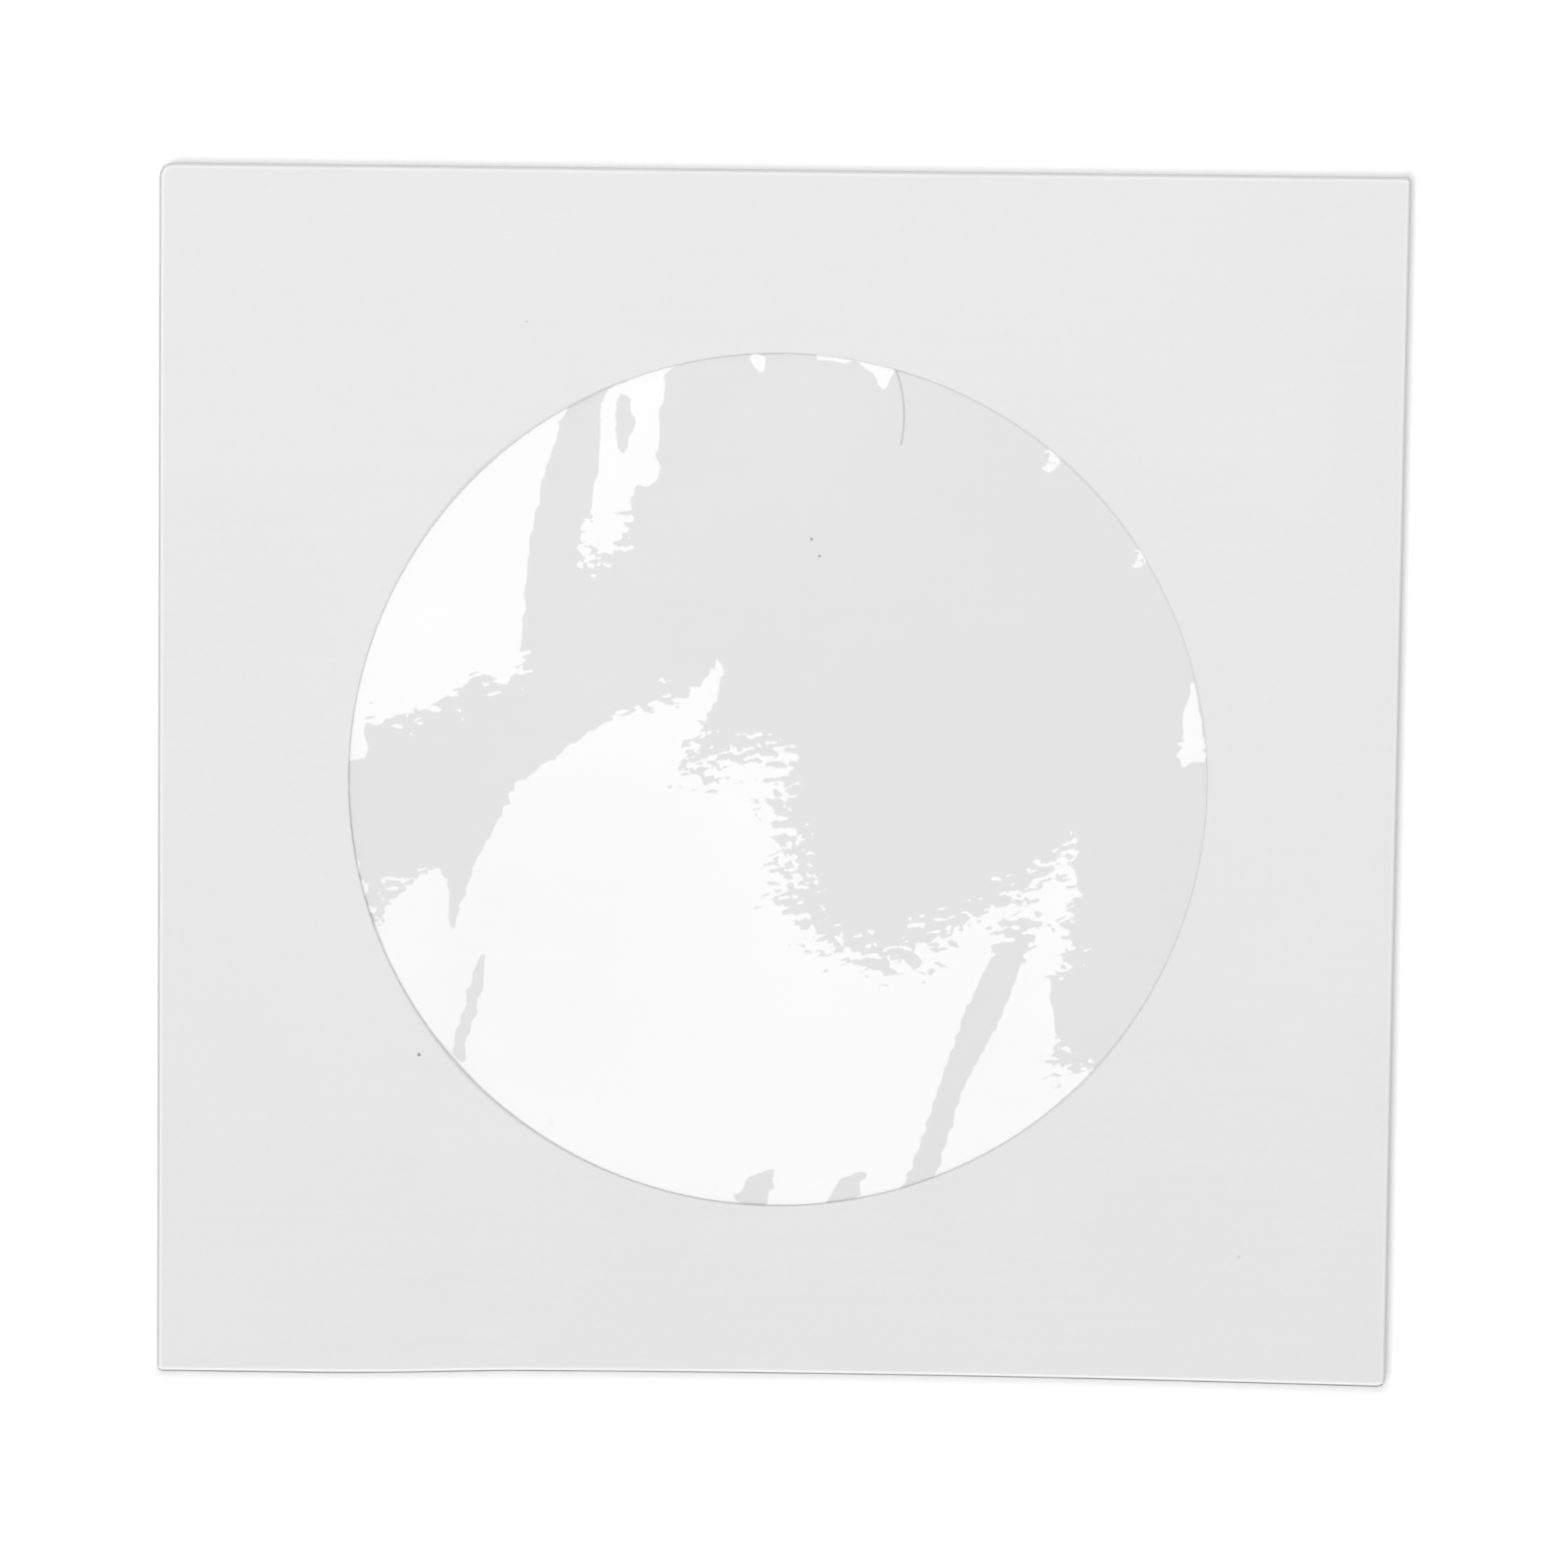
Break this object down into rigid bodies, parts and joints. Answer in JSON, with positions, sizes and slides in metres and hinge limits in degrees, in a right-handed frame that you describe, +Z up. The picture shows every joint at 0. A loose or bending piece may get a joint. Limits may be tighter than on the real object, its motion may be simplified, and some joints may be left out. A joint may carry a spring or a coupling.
{
  "type": "cd sleeve",
  "caption": "Square paper sleeve for a disc, folded from one white blank, with a round clear-film window and a closing flap folded over the throat.",
  "frame": {"origin": "middle of the base, on the surface that the sleeve lies on", "axes": "+Z up, out of the window face; +Y towards the fold of the closing flap; +X to the right seen from above"},
  "size_m": [0.127, 0.1246, 0.0022],
  "materials": {
    "paper": "matte",
    "film": "clear gloss"
  },
  "bodies": {
    "root": {"paper_envelope": "paper", "window_film": "film"}
  },
  "joints": []
}
